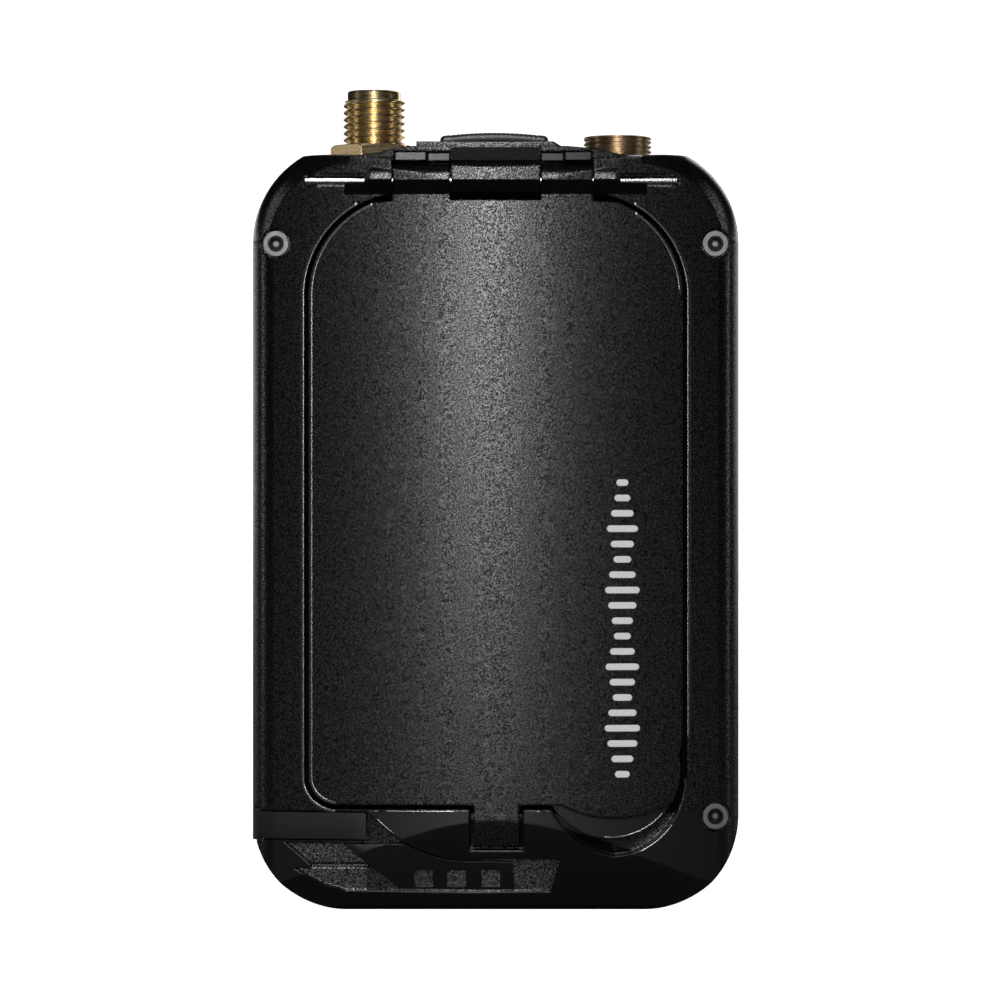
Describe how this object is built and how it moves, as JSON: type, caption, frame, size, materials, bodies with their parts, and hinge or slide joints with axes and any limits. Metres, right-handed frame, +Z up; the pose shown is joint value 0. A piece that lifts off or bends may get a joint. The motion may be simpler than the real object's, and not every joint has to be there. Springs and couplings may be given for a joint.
{
  "type": "wireless bodypack transmitter",
  "caption": "Pocket radio transmitter with a hinged battery door, sliding latch, push button, covered charging port, threaded antenna socket and threaded microphone socket.",
  "frame": {"origin": "bottom centre of the bounding box", "axes": "+Z up through the sockets, -Y out of the battery door, +X to the right seen from the door"},
  "size_m": [0.0496, 0.016, 0.0837],
  "materials": {
    "main_housing": "fine textured powder coat",
    "front_cover": "fine textured powder coat",
    "case_gasket": "matte",
    "case_screws": "black oxide",
    "hinge_pin": "polished",
    "button_bezel": "fine textured powder coat",
    "status_window_left": "smoked",
    "status_window_right": "smoked",
    "pairing_led_lens": "clear",
    "sma_body": "gold plated",
    "sma_insulator": "PTFE",
    "sma_contact": "gold plated",
    "sma_nut": "gold plated",
    "sma_washer": "gold plated",
    "mic_barrel": "plated",
    "mic_insert": "moulded",
    "mic_contacts": "gold plated",
    "main_board": "solder mask",
    "rf_shield": "tin plated",
    "radio_chip": "moulded",
    "audio_chip": "moulded",
    "tact_switch": "moulded",
    "usb_shell": "nickel plated",
    "usb_tongue": "moulded",
    "port_board": "solder mask",
    "port_strap": "matte",
    "battery_tray": "moulded",
    "battery_springs": "nickel plated",
    "battery_contacts": "nickel plated",
    "cell_left": "gloss sleeve",
    "cell_middle": "gloss sleeve",
    "cell_right": "gloss sleeve",
    "door_panel": "fine textured powder coat",
    "door_gasket": "matte",
    "door_pad": "foam",
    "door_hook": "stamped",
    "latch_slider": "moulded",
    "latch_bolt": "stamped",
    "latch_detent_spring": "spring steel",
    "power_button": "bead blasted",
    "button_clip": "spring steel",
    "port_cap": "matte"
  },
  "bodies": {
    "housing": {"main_housing": "main_housing", "front_cover": "front_cover", "case_gasket": "case_gasket", "case_screws": "case_screws", "hinge_pin": "hinge_pin", "button_bezel": "button_bezel", "status_window_left": "status_window_left", "status_window_right": "status_window_right", "pairing_led_lens": "pairing_led_lens", "sma_body": "sma_body", "sma_insulator": "sma_insulator", "sma_contact": "sma_contact", "sma_nut": "sma_nut", "sma_washer": "sma_washer", "mic_barrel": "mic_barrel", "mic_insert": "mic_insert", "mic_contacts": "mic_contacts", "main_board": "main_board", "rf_shield": "rf_shield", "radio_chip": "radio_chip", "audio_chip": "audio_chip", "tact_switch": "tact_switch", "usb_shell": "usb_shell", "usb_tongue": "usb_tongue", "port_board": "port_board", "port_strap": "port_strap", "battery_tray": "battery_tray", "battery_springs": "battery_springs", "battery_contacts": "battery_contacts", "cell_left": "cell_left", "cell_middle": "cell_middle", "cell_right": "cell_right", "latch_detent_spring": "latch_detent_spring"},
    "door": {"door_panel": "door_panel", "door_gasket": "door_gasket", "door_pad": "door_pad", "door_hook": "door_hook"},
    "latch": {"latch_slider": "latch_slider", "latch_bolt": "latch_bolt"},
    "button": {"power_button": "power_button", "button_clip": "button_clip"},
    "port_cap": {"port_cap": "port_cap"}
  },
  "joints": [
    {"name": "door_hinge", "type": "hinge", "parent": "housing", "child": "door", "pos_m": [0, -0.00595, 0.074], "axis": [-1, 0, 0], "range_deg": [0, 90]},
    {"name": "latch_slide", "type": "slide", "parent": "housing", "child": "latch", "axis": [-1, 0, 0], "range_m": [0, 0.0055]},
    {"name": "button_press", "type": "slide", "parent": "housing", "child": "button", "axis": [0, 0, -1], "range_m": [0, 0.0005], "stiffness_N_per_m": 1200, "springref_m": -0.0002},
    {"name": "port_cap_flex", "type": "hinge", "parent": "housing", "child": "port_cap", "pos_m": [-0.0243, -0.0049, 0.00875], "axis": [0, 0, 1], "range_deg": [0, 100]}
  ]
}
